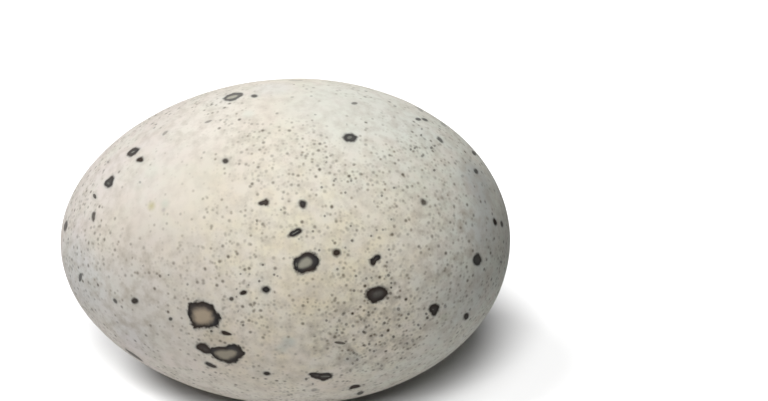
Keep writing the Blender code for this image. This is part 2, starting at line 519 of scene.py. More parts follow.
# A blurred speck looks wider and fainter than it is, so each is drawn smaller and stronger by these shares.
SPECK_SHARE = 0.8
SPECK_DEEPER = 1.25
seen_specks = [
    (321.7, 187.3, 3.2, 0.5), (345.4, 192.6, 3, 0.45), (381.8, 195.7, 3.2, 0.5), (394, 187.7, 3, 0.5),
    (351.2, 180.8, 3, 0.45), (334, 180.8, 3, 0.45), (324.8, 216, 3, 0.45), (350.8, 225.9, 3, 0.5),
    (371.1, 235.9, 3, 0.5), (351.9, 240.5, 3, 0.45), (345.4, 247.7, 3, 0.4), (389, 249.6, 3, 0.45),
    (391.3, 219.4, 3, 0.45), (376.8, 230.1, 3, 0.4), (382.9, 229.7, 3, 0.4), (337.4, 269.2, 3.4, 0.5),
    (356.1, 276, 3, 0.4), (388.5, 275.2, 3.8, 0.55), (319.3, 250.2, 3.2, 0.5), (312.9, 231.3, 3.2, 0.5),
    (366.3, 278.5, 3.4, 0.45), (391.2, 287.6, 2.8, 0.7), (391.2, 283, 2.8, 0.5), (390.5, 293.2, 4, 0.5),
    (367.7, 303.1, 3, 0.4), (445.3, 306.3, 4, 0.35), (426.3, 313.8, 3.4, 0.55), (427.4, 317.8, 3.4, 0.6),
    (363.5, 331.8, 3.4, 0.6), (382, 335.5, 3.4, 0.6), (393.5, 336.8, 3.4, 0.6), (369.3, 344, 3.4, 0.5),
    (369.8, 350.3, 3.4, 0.45), (373.9, 351.2, 3.2, 0.5), (347.5, 359, 3.4, 0.5), (357.3, 359.6, 3.4, 0.45),
    (356.8, 354.3, 3.2, 0.35), (353.5, 352.3, 3.2, 0.35), (352.8, 363.5, 3.2, 0.4),
    (350.2, 370.8, 3.6, 0.3), (378, 364, 3.4, 0.4), (381.6, 365.7, 3.2, 0.35), (397, 367.5, 3.4, 0.35),
    (384.8, 343.5, 3.2, 0.35), (306.2, 379, 3.4, 0.55), (211.3, 331.3, 3.2, 0.5), (243.2, 325.2, 3.2, 0.5),
    (241.2, 322.4, 2.8, 0.3), (259.3, 281.2, 3.4, 0.6), (248.6, 285, 2.8, 0.4), (236.6, 289, 2.8, 0.4),
    (236.5, 296.8, 2.8, 0.45), (299, 239, 2.8, 0.3), (281, 209.8, 2.8, 0.4), (421.8, 129, 2.8, 0.4),
    (421.2, 135, 2.6, 0.5), (431.4, 147.8, 3.4, 0.5), (434.8, 145.8, 3, 0.45), (410.8, 149.5, 3, 0.5),
    (414.8, 148, 3, 0.5), (422.3, 156, 3.4, 0.45), (434.3, 170.2, 3.2, 0.55), (108, 162, 3.4, 0.3),
    (140, 182.3, 3.2, 0.3), (462.5, 176, 4, 0.25), (501, 262, 3.4, 0.4), (326.5, 320.5, 3.4, 0.5),
    (346.3, 324.4, 3.8, 0.45), (353, 326, 3.6, 0.4), (337, 330, 3, 0.45), (384.6, 322.8, 3.4, 0.5),
    (418.3, 325, 3.4, 0.5), (398.4, 309.2, 4.4, 0.5), (408.4, 314.2, 3.4, 0.5), (368.5, 312.2, 2.8, 0.5),
    (375.2, 308.8, 3.2, 0.35), (361, 319.5, 3.2, 0.4), (364.5, 320, 3.2, 0.3), (343, 314.5, 3.8, 0.35),
    (339.4, 320.8, 3.8, 0.35), (407.2, 343.4, 3.4, 0.45), (412.8, 340.6, 4.2, 0.35), (369, 325.4, 3, 0.35),
    (354, 290.6, 3.4, 0.5), (312.8, 384, 3, 0.4), (371.5, 277.7, 3, 0.4), (387, 262.3, 3, 0.4),
    (364.8, 294, 3, 0.45), (396.5, 297.5, 4, 0.35), (262.8, 264.8, 3, 0.55), (274.2, 274.6, 3.2, 0.55),
    (277.5, 276, 2.6, 0.4), (240.5, 274, 2.8, 0.45), (249.5, 274.2, 2.8, 0.35), (187.5, 284.5, 3, 0.35),
    (168.5, 275, 2.4, 0.4),
]
for x, y, width, strength in seen_specks:
    ink = (min(1.0, SPECK_DEEPER * strength), SPECK_BROWN, SPECK_SOFTNESS)
    seen.append(seen_mark(oval(x, y, SPECK_SHARE * width, SPECK_SHARE * width), ink, 0.0))
print("marks and larger specks:", len(seen))

# %% Pale middles of the rings
seen_hearts = {
    "big_heart": ([
        (193, 311.8), (194.6, 309.2), (198.3, 308.2), (202.2, 308.2), (206.2, 309), (209, 310.6),
        (211.4, 313), (212.6, 316.8), (212.2, 320.8), (208.3, 323.2), (203.5, 324.2), (198.3, 324.1),
        (195.6, 322.2), (194, 319.1), (192.9, 315.5),
    ], (0.82, 0.9, 0.55)),
    "lower_heart": ([
        (214.6, 352.7), (218, 350.9), (222.5, 350.4), (226.5, 350.4), (230.9, 350), (234.4, 350.6),
        (236.6, 352.6), (236, 354.6), (233.2, 356.6), (230.1, 358.6), (226.5, 359.8), (222.7, 359.2),
        (219, 357.4), (216, 355.3),
    ], (0.76, 0.55, 0.5)),
    "middle_heart": ([
        (297.5, 266), (298.7, 263.2), (300.7, 260.9), (302.9, 258.7), (305.5, 257.4), (308.9, 257.4),
        (311.1, 259.3), (312, 262), (311.2, 264.6), (308.8, 266.6), (305.2, 267.8), (301.7, 268.4),
        (298.8, 268),
    ], (0.82, 0.3, 0.55)),
    "middle_lobe": (oval(296.4, 264.6, 3.2, 5), (0.2, 0.2, 0.25)),
    "slanted_slit": (oval(295.4, 232.6, 8, 1.6, 30), (0.3, 0.1, 0.2)),
    "right_heart": (oval(378.0, 294.0, 11, 7, 25), (0.08, 0.1, 0.55)),
    "upper_heart": (oval(349.6, 137.4, 5.6, 3.4, 15), (0.32, 0.1, 0.25)),
    "top_heart": (oval(232.2, 97.1, 12, 2.8, 15), (0.95, 0.3, 0.2)),
    "left_heart": (oval(132.9, 152.0, 4.6, 1.4, 30), (0.5, 0.1, 0.2)),
    "teardrop_heart": (oval(108.4, 183.4, 3, 3), (0.2, 0.1, 0.25)),
    "bottom_slit": (oval(325.5, 376.5, 10, 1.6, 2), (0.34, 0.1, 0.2)),
    "edge_slit": (oval(433.0, 309.5, 2, 2), (0.25, 0.2, 0.2)),
}
hearts = [seen_mark(pixels, ink, -EDGE_OUTSET) for pixels, ink in seen_hearts.values()]
print("pale middles:", len(hearts))

# %% [markdown]
# ## Marks on the far side
#
# The picture shows half of the egg. The other half gets marks of the same kinds and sizes, thrown by a
# seeded dice, so they fall in the same places each time. A throw is left out where the picture shows the
# shell, and where it would touch a mark that is already there.

# %% Rules for the throws
FAR_SEED = 7
FAR_THROWS = 900
FAR_MARKS = 64
FAR_SIZES = (0.24 * MM, 2.0 * MM)
# A power above 1 makes large marks rare.
FAR_SIZE_POWER = 1.9
FAR_LEAST_SQUASH = 0.65
# Waves round the outline and their height on the largest mark, as a share of its size; each starts anywhere
# in nearly a whole turn.
FAR_WAVES = ((2, 0.16), (3, 0.20))
FAR_WAVE_START = 6.0
# The shell is seen where its way out agrees with the way to the camera by more than this.
SEEN_FROM = 0.02
FAR_SPACING = 1.5
FAR_GAP = 1.0 * MM
# Half of the marks smaller than this are faint.
FAINT_BELOW = 0.5 * MM
FAINT_ODDS = 0.5
FAINT_STRENGTH = 0.6
FAR_SOFTNESS = 0.22
# Larger marks are rings: their rim is so wide, and their heart so strong, so brown and so soft.
HEART_FROM = 1.25 * MM
RIM_WIDTH = 0.82 * MM
HEART_STRENGTH = 0.8
HEART_BROWN = (0.4, 0.5)
HEART_SOFTNESS = 0.45
print("throws:", FAR_THROWS, "for at most", FAR_MARKS, "marks")

# %% Thrown marks
dice = np.random.default_rng(FAR_SEED)
far = []
for _ in range(FAR_THROWS):
    way = dice.normal(size=3)
    way /= np.linalg.norm(way)
    size = FAR_SIZES[0] * (FAR_SIZES[1] / FAR_SIZES[0]) ** (dice.random() ** FAR_SIZE_POWER)
    squash = dice.uniform(FAR_LEAST_SQUASH, 1.0)
    turn = dice.uniform(0.0, math.pi)
    lobes = dice.random(4)
    brown = dice.random()
    middle = shell_from_sphere(way[None])[0]
    _, outward, _, _ = shell_tree.find_nearest(Vector(middle))
    clearance = min(np.linalg.norm(m["middle"] - middle) - m["size"] for m in seen + far)
    in_sight = outward.dot(backward) > SEEN_FROM
    if len(far) == FAR_MARKS or in_sight or clearance < FAR_SPACING * size + FAR_GAP:
        continue
    wavy = 1.0
    for (waves, height), shift in zip(FAR_WAVES, lobes):
        wavy = wavy + height * size / FAR_SIZES[1] * np.sin(waves * ROUND_AN_OVAL + FAR_WAVE_START * shift)
    rim = np.stack([np.cos(ROUND_AN_OVAL), squash * np.sin(ROUND_AN_OVAL)], axis=1)
    c, s = math.cos(turn), math.sin(turn)
    rim = size * wavy[:, None] * rim @ np.array([[c, s], [-s, c]])
    strength = FAINT_STRENGTH if size <= FAINT_BELOW and lobes[2] <= FAINT_ODDS else 1.0
    far.append(mark_of(middle, np.array(outward), rim, (strength, brown, FAR_SOFTNESS)))
    if size > HEART_FROM:
        ink = (HEART_STRENGTH, HEART_BROWN[0] + HEART_BROWN[1] * lobes[3], HEART_SOFTNESS)
        hearts.append(mark_of(middle, np.array(outward), rim * (1.0 - RIM_WIDTH / size), ink))
marks = seen + far
print("marks on the far side:", len(far), "all marks:", len(marks), "all pale middles:", len(hearts))

# %% [markdown]
# ## Writing the marks into the mesh
#
# A dot of pigment is smaller than two cells of the mesh, so a colour kept at the points would turn it into
# a blurred square. Each corner of each face keeps a place instead: where it lies in its nearest mark, as a
# vector that is one long on the mark's outline. Blender draws such a vector exactly between the corners,
# and the material finds the outline from it. Two marks may lie near one face, so the two nearest ones are
# kept.

# %% Places in the marks
# The place of a corner with no mark near it: nine times the radius of an outline of 1 mm, so 8 mm outside.
NOWHERE = (9.0, 0.0, 1.0)
MARK_SURROUNDINGS = 1.6 * MM
# Keeps a mark's own middle from dividing by 0.
SHORTEST = 1e-9
face_middles = places[faces].mean(axis=1)


def place_in_mark(mark, points):
    """Each point as a vector in the mark, one long on its outline, and the outline's distance in mm."""
    flat = (points - mark["middle"]) @ mark["axes"].T
    squeezed = flat @ mark["squeeze"].T
    turn = np.arctan2(squeezed[..., 1], squeezed[..., 0])
    inside = squeezed / np.interp(turn, MARK_DIRECTIONS, mark["reach"], period=2 * math.pi)[..., None]
    length = np.maximum(np.linalg.norm(inside, axis=-1), SHORTEST)
    outline = np.linalg.norm(flat, axis=-1) / length / MM
    return np.concatenate([inside, outline[..., None]], axis=-1)


def write_marks(marks, names):
    """Writes each face's nearest marks to attributes: NAME has the corners' places, NAME_ink the ink."""
    gaps = np.full((len(faces), len(names)), np.inf)
    picks = np.full((len(faces), len(names)), -1)
    for number, mark in enumerate(marks):
        near = np.linalg.norm(face_middles - mark["middle"], axis=1) < mark["size"] + MARK_SURROUNDINGS
        inside = place_in_mark(mark, face_middles[near])
        gap = (np.linalg.norm(inside[:, :2], axis=1) - 1) * inside[:, 2]
        row_gaps = np.column_stack([gaps[near], gap])
        row_picks = np.column_stack([picks[near], np.full(near.sum(), number)])
        order = np.argsort(row_gaps, axis=1, kind="stable")[:, :-1]
        gaps[near] = np.take_along_axis(row_gaps, order, axis=1)
        picks[near] = np.take_along_axis(row_picks, order, axis=1)
    for rank, name in enumerate(names):
        corners = np.tile(np.array(NOWHERE, dtype=np.float32), (len(faces), 4, 1))
        inks = np.zeros((len(faces), 4, 3), dtype=np.float32)
        for number, mark in enumerate(marks):
            mine = picks[:, rank] == number
            corners[mine] = place_in_mark(mark, places[faces[mine]])
            inks[mine] = mark["ink"]
        for label, values in ((name, corners), (name + "_ink", inks)):
            layer = shell_mesh.attributes.new(label, "FLOAT_VECTOR", "CORNER")
            layer.data.foreach_set("vector", values.ravel())
    return int((picks[:, 0] >= 0).sum())


print("faces near a mark:", write_marks(marks, ["mark", "next_mark"]))
print("faces near a pale middle:", write_marks(hearts, ["heart"]))

# %% [markdown]
# ## Tools for the material
#
# Three small functions: one turns a colour as painters and web pages write it into the linear numbers that
# light is reckoned in, one adds a node, sets it and links it, and one gives a pattern its scale. Patterns
# are measured in millimetres, and a noise of scale 1000 in Blender has one lump to the millimetre, because
# an object's coordinates are in metres.

# %% Colour and node helpers
egg_material = bpy.data.materials.new("duck_eggshell")
egg_material.use_nodes = True
tree = egg_material.node_tree
tree.nodes.clear()


def linear(colour):
    """Linear red, green and blue of an sRGB hex colour, with an alpha of 1.

    A share up to 0.04045 is divided by 12.92, and above it is ((share + 0.055) / 1.055) to the power 2.4.
    """
    shares = [int(colour[i:i + 2], 16) / 255 for i in (1, 3, 5)]
    return [c / 12.92 if c <= 0.04045 else ((c + 0.055) / 1.055) ** 2.4 for c in shares] + [1.0]


def add(kind, inputs, output=0, **settings):
    """Adds a node with its settings, fills or links its inputs, and gives back the output asked for."""
    made = tree.nodes.new("ShaderNode" + kind)
    for name, value in settings.items():
        setattr(made, name, value)
    for name, value in inputs.items():
        if isinstance(value, bpy.types.NodeSocket):
            tree.links.new(value, made.inputs[name])
        else:
            made.inputs[name].default_value = value
    return made.outputs[output] if made.outputs else made


def per_mm(size):
    """The scale of a pattern whose lumps are that many millimetres across."""
    return 1.0 / (size * MM)


# The sockets of a Mix node that mixes colours: its share, the colour under, the one over and the result.
SHARE, UNDER, OVER, MIXED = 0, 6, 7, 2
place = add("TexCoord", {}, "Object")
print("cream in linear light:", [round(c, 3) for c in linear("#e3dcc8")])

# %% [markdown]
# ## Bare eggshell
#
# Eggshell is calcium carbonate with a thin skin of dried mucus. It is matt and chalky with a faint sheen,
# and its colour isn't even: cream where the skin is thick, paler, rosier or greener where it is thin, with
# a cool cast towards the blunt end. Soft noises mix these tints, with lumps of 2 to 14 mm. Over them lie
# patches where the picture shows them: wide ones where the shell is warmer or cooler, and a few stains no
# wider than a match head. A few patches are painted light and shade: three pale ones brighten the lowest
# edge, a grey one darkens the upper rim of the blunt end, and the cool one on the blunt end is partly its
# own tint and partly painted shade. One more noise makes the belly yellower in places and greyer in others.

# %% Ground colour
wide_noise = add("TexNoise", {"Vector": place, "Scale": per_mm(14.0), "Detail": 2.0})
blotch_noise = add("TexNoise", {"Vector": place, "Scale": per_mm(3.6), "Detail": 2.0})
tint_noise = add("TexNoise", {"Vector": place, "Scale": per_mm(2.2), "Detail": 1.0})
place_x = add("SeparateXYZ", {"Vector": place}, "X")
to_blunt = add(
    "MapRange",
    {"Value": place_x, "From Min": -0.030, "From Max": 0.032},
    interpolation_type="SMOOTHSTEP",
)
lengthwise_tint = add("ValToRGB", {"Fac": to_blunt}, "Color")
stops = lengthwise_tint.node.color_ramp.elements
stops[0].color = linear("#d9d1cc")
stops[1].color = linear("#d2d5cc")
stops.new(0.5).color = linear("#e0d9c9")
GROUND_TINTS = {
    # name: (noise, where it starts and where it is full, largest share, colour)
    "green": (blotch_noise, 0.40, 0.70, 0.45, "#d1d3c2"),
    "rose": (tint_noise, 0.40, 0.70, 0.32, "#dacbc1"),
    "pale": (wide_noise, 0.35, 0.70, 0.25, "#e4dfd6"),
}
ground = lengthwise_tint
for noise, low, high, most, shade in GROUND_TINTS.values():
    share = add("MapRange", {"Value": noise, "From Min": low, "From Max": high, "To Max": most})
    ground = add("Mix", {SHARE: share, UNDER: ground, OVER: linear(shade)}, MIXED, data_type="RGBA")
print("nodes so far:", len(tree.nodes))


# %% Patches and stains
def near_pixel(point, pixel, full_within, none_beyond, most):
    """A share: `most` within one distance in mm of the shell seen at a pixel, falling to 0 at the other."""
    away = add("VectorMath", {0: point, 1: seen_point(pixel)[0]}, "Value", operation="DISTANCE")
    reach = {"From Min": none_beyond * MM, "From Max": full_within * MM, "To Max": most}
    return add("MapRange", {"Value": away, **reach}, interpolation_type="SMOOTHSTEP")


PATCHES = {
    # name: (pixel, full within mm, none beyond mm, share, colour)
    "warm_belly": ((345, 290), 3, 14, 0.3, "#dccba9"),
    "warm_foot": ((255, 355), 3, 11, 0.35, "#dfceb8"),
    "cream_side": ((215, 235), 4, 13, 0.2, "#e2d6ba"),
    "pale_shoulder": ((215, 115), 3, 9, 0.35, "#ebe6db"),
    # The cool patch on the blunt end is partly the shell's own cool tint and partly painted shade; the grey
    # one at its upper rim, next, is painted shade.
    "cool_tint_and_painted_shade_blunt_end": ((482, 225), 1.5, 6, 0.4, "#bcc0c2"),
    "painted_shade_blunt_rim": ((478, 182), 1.5, 5, 0.45, "#a4a7aa"),
    "cool_right_rim": ((468, 295), 2, 6.5, 0.2, "#bfc3c6"),
    "warm_right_belly": ((402, 235), 3, 9, 0.35, "#e0d4bf"),
    "rosy_low_right": ((392, 330), 3, 9, 0.4, "#ece0cf"),
    "pale_right_belly": ((414, 266), 3, 8, 0.2, "#ece8e0"),
    "pale_right": ((401, 289), 0.4, 2, 0.5, "#f2ebdd"),
    "tan_low_middle": ((306, 295), 0.8, 4, 0.38, "#cbbea4"),
    "tan_middle": ((222, 203), 3, 13, 0.22, "#c9c1ac"),
    "tan_upper": ((302, 172), 0.6, 3, 0.28, "#bfb7a6"),
    "tan_by_the_rings": ((216, 336), 1, 3.4, 0.55, "#bdb29a"),
    "yellow_middle": ((325, 235), 4, 12, 0.15, "#e3d9b8"),
    "tan_left": ((118, 232), 2, 8, 0.33, "#cbc3ae"),
    "cool_low_left": ((126, 305), 4, 9, 0.32, "#c9ceca"),
    "lilac_low_left": ((132, 338), 1.5, 5.5, 0.35, "#cdc8cb"),
    "grey_low_side": ((165, 290), 5, 13, 0.5, "#c6bfb6"),
    "grey_pointed_end": ((78, 276), 2.5, 8, 0.55, "#c9cccb"),
    "cool_upper_right": ((415, 130), 1.5, 6, 0.25, "#dde4e0"),
    "cool_foot": ((262, 372), 1, 4.5, 0.35, "#d6d2ca"),
    "rosy_foot": ((332, 382), 1.5, 5, 0.4, "#ddcdc0"),
    # The next three patches are painted light: they brighten the lowest edge of the shell, where it turns
    # down to the floor.
    "painted_light_foot_left": ((245, 397.5), 1, 7, 0.5, "#f3ede4"),
    "painted_light_foot": ((300, 399.5), 1, 7, 0.45, "#f3ede4"),
    "painted_light_foot_right": ((352, 397.5), 1, 7, 0.45, "#f3ede4"),
    "cool_top": ((225, 98), 1, 4, 0.3, "#e2e2dc"),
    "cool_ridge_left": ((272, 88), 1, 4.5, 0.3, "#dce0e2"),
    "cool_ridge": ((345, 105), 4, 12, 0.4, "#dee2dc"),
    "blue_grey_cluster": ((352, 357), 0.5, 1.6, 0.42, "#b0b6b4"),
    "blue_green_smear": ((289, 342), 0.2, 1.4, 0.5, "#a6b5ae"),
    "blue_smear_foot": ((282, 348.5), 0.2, 1.3, 0.38, "#a6b3b0"),
    "yellow_stain": ((151.5, 206), 0, 1, 0.7, "#b4ac7a"),
    "green_stain": ((165, 204), 0.1, 1, 0.45, "#bec6b7"),
    "violet_stain": ((163.5, 210), 0, 0.5, 0.55, "#a39b9b"),
    "pale_green_stain": ((248, 114), 0.3, 1.4, 0.4, "#d5dbd0"),
    "green_cast": ((151, 171), 0.4, 1.9, 0.4, "#d3d6c8"),
    "green_smudge": ((444.5, 317), 0.2, 1.1, 0.35, "#a8ac92"),
}
# In the same order, but for the colour: where the belly's noise shows.
BELLY = ((310, 295), 6.0, 30.0, 0.23)
for pixel, full_within, none_beyond, most, shade in PATCHES.values():
    share = near_pixel(place, pixel, full_within, none_beyond, most)
    ground = add("Mix", {SHARE: share, UNDER: ground, OVER: linear(shade)}, MIXED, data_type="RGBA")
belly = near_pixel(place, *BELLY)
hue_noise = add("TexNoise", {"Vector": place, "Scale": per_mm(2.4), "Detail": 2.0})
BELLY_TINTS = {
    # name: (where the noise starts and where it is full, colour)
    "yellow": (0.50, 0.66, "#e2d6b2"),
    "grey": (0.50, 0.34, "#d8d4d1"),
}
for low, high, shade in BELLY_TINTS.values():
    share = add("MapRange", {"Value": hue_noise, "From Min": low, "From Max": high, "To Max": belly})
    ground = add("Mix", {SHARE: share, UNDER: ground, OVER: linear(shade)}, MIXED, data_type="RGBA")
print("patches:", list(PATCHES))

# %% [markdown]
# ## Mottling and fine specks
#
# Seen close, the shell is clouded by dirt and pigment in its pores, and over that it is peppered with
# specks of 0.2 to 0.4 mm. A Voronoi pattern drops one point in each small box of space, and a speck is
# where the shell passes near such a point, so the specks come in all sizes up to their full one. How many
# there are is read at the speck's own point, so that none is cut in half: few at both ends and along the
# ridge, more on the belly, in loose clusters. There are three such layers, from faint close dust to a few
# dark specks far apart. The clouds are strongest low on the left and the right, where the shell is
# dirtiest.

# %% Clouds
cloud = add("TexNoise", {"Vector": place, "Scale": per_mm(1.5), "Detail": 3.0, "Roughness": 0.55})
cloud = add("MapRange", {"Value": cloud, "From Min": 0.42, "From Max": 0.72, "To Max": 0.46})
CLOUD_PLACES = {
    # name: (pixel, full within mm, none beyond mm, share by which the clouds are stronger or weaker)
    "low_left": ((125, 295), 4, 12, 0.6),
    "low_right": ((375, 330), 5, 11, 0.75),
    "right": ((450, 238), 3, 8.5, 0.7),
    "bottom_right": ((335, 340), 2.5, 7, 0.3),
    "upper_left": ((172, 195), 4, 10, -0.5),
    "ridge": ((300, 95), 5, 12, -0.3),
}
for pixel, full_within, none_beyond, added in CLOUD_PLACES.values():
    change = near_pixel(place, pixel, full_within, none_beyond, added)
    cloud = add("Math", {0: cloud, 1: change, 2: cloud}, operation="MULTIPLY_ADD")
coat = add("Mix", {SHARE: cloud, UNDER: ground, OVER: linear("#aba294")}, MIXED, data_type="RGBA")
print("places of stronger or weaker clouds:", list(CLOUD_PLACES))

# %% Specks
CROWD_SIZE = 3.6
# A power above 1 makes strong specks rare. Between the clusters this share of the specks is left.
SPECK_POWER = 1.45
EMPTIEST = 0.2
SPECK_LAYERS = {
    # name: (pitch, radius, soft edge in mm, least and most strength, share of points used, colour)
    "dust": (0.41, 0.16, 0.12, (0.00, 0.18), 1.00, "#80725c"),
    "fine": (0.66, 0.175, 0.15, (0.11, 0.62), 0.88, "#6a5c47"),
    "dark": (0.86, 0.22, 0.16, (0.22, 0.80), 0.74, "#463b2a"),
}
SPECK_PLACES = {
    # name: (pixel, full within mm, none beyond mm, share of the specks that is added or left out)
    "pointed_end": ((158, 168), 7.5, 13.5, -0.87),
    "ridge": ((290, 92), 4, 10, -0.9),
    "ridge_right": ((400, 105), 3, 7, -0.7),
    "ridge_middle": ((345, 112), 3.5, 6.5, -0.85),
    "low_side": ((140, 325), 5, 12, -0.65),
    "low_middle": ((285, 350), 3, 7, -0.35),
    "foot_left": ((222, 386), 3.5, 8.5, -0.45),
    "middle": ((240, 220), 3, 8, -0.2),
    "upper_right": ((355, 172), 4, 10, 0.2),
    "blunt_rim": ((485, 190), 3, 9, -0.6),
    "low_right": ((370, 320), 5, 11, 0.36),
}
for layer, (pitch, full, edge, (least, most), used, shade) in SPECK_LAYERS.items():
    cells = add("TexVoronoi", {"Vector": place, "Scale": per_mm(pitch)}, "Distance").node
    throw = add("SeparateColor", {"Color": cells.outputs["Color"]}, "Red").node
    own_place = cells.outputs["Position"]
    crowd = add("TexNoise", {"Vector": own_place, "Scale": per_mm(CROWD_SIZE), "Detail": 2.0})
    filled = {"To Min": EMPTIEST * used, "To Max": used}
    crowd = add("MapRange", {"Value": crowd, "From Min": 0.32, "From Max": 0.56, **filled})
    plenty = 1.0
    for pixel, full_within, none_beyond, added in SPECK_PLACES.values():
        change = near_pixel(own_place, pixel, full_within, none_beyond, added)
        plenty = add("Math", {0: change, 1: plenty, 2: plenty}, operation="MULTIPLY_ADD")
    crowd = add("Math", {0: crowd, 1: plenty}, operation="MULTIPLY")
    there = add("Math", {0: throw.outputs["Red"], 1: crowd}, operation="LESS_THAN")
    reach = {"From Min": (full + edge) / pitch, "From Max": (full - edge) / pitch}
    speck = add("MapRange", {"Value": cells.outputs["Distance"], **reach}, interpolation_type="SMOOTHSTEP")
    seldom = add("Math", {0: throw.outputs["Green"], 1: SPECK_POWER}, operation="POWER")
    strength = add("MapRange", {"Value": seldom, "To Min": least, "To Max": most})
    speck = add("Math", {0: speck, 1: there}, operation="MULTIPLY")
    deeper = add("Math", {0: plenty, 1: 1.0}, operation="MAXIMUM")
    strength = add("Math", {0: strength, 1: deeper}, operation="MULTIPLY", use_clamp=True)
    speck = add("Math", {0: speck, 1: strength}, operation="MULTIPLY")
    coat = add("Mix", {SHARE: speck, UNDER: coat, OVER: linear(shade)}, MIXED, data_type="RGBA")
print("layers of specks:", list(SPECK_LAYERS))

# %% [markdown]
# ## Rings, blots and dots
#
# Here the places that the mesh carries become pigment. The length of the place, less one, times the
# outline's distance, is how many millimetres a point lies outside the mark. A fine noise makes that edge
# uneven, the more so the larger the mark, and a smooth step turns it into a cover of pigment. The pigment
# is thickest at the rim, where it dried last, and thins unevenly inwards; around a mark the shell is
# stained a cooler grey for half a millimetre or so, and in the middle of a ring only a greenish tan is
# left.

# %% Cover of pigment
EDGE_WOBBLE = 0.22
edge_noise = add("TexNoise", {"Vector": place, "Scale": per_mm(0.7), "Detail": 2.0})
wobble = add("MapRange", {"Value": edge_noise, "To Min": -EDGE_WOBBLE, "To Max": EDGE_WOBBLE})
pigment = {}
for name in ("mark", "next_mark", "heart"):
    where = add("Attribute", {}, "Vector", attribute_name=name)
    ink = add("Attribute", {}, "Vector", attribute_name=name + "_ink")
    ink = add("SeparateXYZ", {"Vector": ink}).node.outputs
    flat = add("VectorMath", {0: where, 1: (1.0, 1.0, 0.0)}, operation="MULTIPLY")
    length = add("VectorMath", {0: flat}, "Value", operation="LENGTH")
    beyond = add("Math", {0: length, 1: 1.0}, operation="SUBTRACT")
    outline = add("SeparateXYZ", {"Vector": where}, "Z")
    unevenness = add("Math", {0: wobble, 1: outline}, operation="MULTIPLY")
    outside = add("Math", {0: beyond, 1: outline, 2: unevenness}, operation="MULTIPLY_ADD")
    sharp = add("Math", {0: ink["Z"], 1: -1.0}, operation="MULTIPLY")
    edge = {"Value": outside, "From Min": ink["Z"], "From Max": sharp}
    cover = add("MapRange", edge, interpolation_type="SMOOTHSTEP")
    cover = add("Math", {0: cover, 1: ink["X"]}, operation="MULTIPLY")
    pigment[name] = dict(outside=outside, cover=cover, strength=ink["X"], brown=ink["Y"])
mark, next_mark, heart = pigment.values()
print("kinds of pigment:", list(pigment))

# %% Stain round a mark
STAIN_WIDTH = 0.7
STAIN_SHARE = 0.2
reach = {"Value": mark["outside"], "From Min": STAIN_WIDTH, "From Max": 0.0, "To Max": STAIN_SHARE}
stain = add("MapRange", reach, interpolation_type="SMOOTHSTEP")
stain = add("Math", {0: stain, 1: mark["strength"]}, operation="MULTIPLY")
coat = add("Mix", {SHARE: stain, UNDER: coat, OVER: linear("#a9aea8")}, MIXED, data_type="RGBA")
print("stain round a mark:", STAIN_WIDTH, "mm wide")

# %% Colours of the pigment
BROWN_SWING = 0.35
# Millimetres inside a mark from which its pigment thins, and to which.
THINS_FROM, THINS_TO = 0.3, 1.1
THIN_SHARE = 0.34
swing = {"To Min": -BROWN_SWING, "To Max": BROWN_SWING}
brown = add("MapRange", {"Value": tint_noise, "From Min": 0.4, "From Max": 0.6, **swing})
brown = add("Math", {0: brown, 1: mark["brown"]}, operation="ADD", use_clamp=True)
inks = {UNDER: linear("#1c1a1a"), OVER: linear("#2c2119")}
dark_ink = add("Mix", {SHARE: brown, **inks}, MIXED, data_type="RGBA")
depth = {"Value": mark["outside"], "From Min": -THINS_FROM, "From Max": -THINS_TO, "To Max": THIN_SHARE}
depth = add("MapRange", depth)
depth = add("Math", {0: depth, 1: edge_noise}, operation="MULTIPLY")
dark_ink = add("Mix", {SHARE: depth, UNDER: dark_ink, OVER: linear("#8d8a87")}, MIXED, data_type="RGBA")
inks = {UNDER: linear("#999e93"), OVER: linear("#b5a38b")}
pale_ink = add("Mix", {SHARE: heart["brown"], **inks}, MIXED, data_type="RGBA")
ring_ink = add("Mix", {SHARE: heart["cover"], UNDER: dark_ink, OVER: pale_ink}, MIXED, data_type="RGBA")
cover = add("Math", {0: mark["cover"], 1: next_mark["cover"]}, operation="MAXIMUM")
colour = add("Mix", {SHARE: cover, UNDER: coat, OVER: ring_ink}, MIXED, data_type="RGBA")
print("nodes so far:", len(tree.nodes))

# %% [markdown]
# ## Shine and grain
#
# The shell's sheen is broad and weak: calcite's index of refraction is about 1.5 to 1.6, under a roughness
# near 0.6. Its pores and grain are a few hundredths of a millimetre, too fine for the picture, so the grain
# is drawn at 0.35 mm, where it just breaks up the light. The pigment is a little duller than the bare
# shell.

# %% Shell shader
SHELL_IOR = 1.5
SHELL_SHEEN, PIGMENT_SHEEN = 0.3, 0.2
sheen = add("MapRange", {"Value": cover, "To Min": SHELL_SHEEN, "To Max": PIGMENT_SHEEN})
grain = add("TexNoise", {"Vector": place, "Scale": per_mm(0.35), "Detail": 3.0, "Roughness": 0.6})
bump = add("Bump", {"Height": grain, "Strength": 0.35, "Distance": 0.03 * MM}, "Normal")
roughness = add("MapRange", {"Value": blotch_noise, "To Min": 0.54, "To Max": 0.66})
finish = {"Roughness": roughness, "IOR": SHELL_IOR, "Specular IOR Level": sheen, "Normal": bump}
surface = add("BsdfPrincipled", {"Base Color": colour, **finish}, "BSDF")
add("OutputMaterial", {"Surface": surface})
shell_mesh.materials.append(egg_material)
print("nodes in duck_eggshell:", len(tree.nodes))

# %% [markdown]
# ## Floor
#
# The egg lies on a white sweep that is lit so strongly that it turns pure white, which leaves only a short
# dark shadow by the egg. A floor that bright would also throw too much light up under the shell. So there
# are two floors in one place: the white one is seen by the camera alone, and a grey one, a hair lower, is
# what the shell gets its reflected light from, as from a smaller white board under it. A dark card, which
# photographers call a flag, stands out of view to the right and keeps that light off the blunt end.

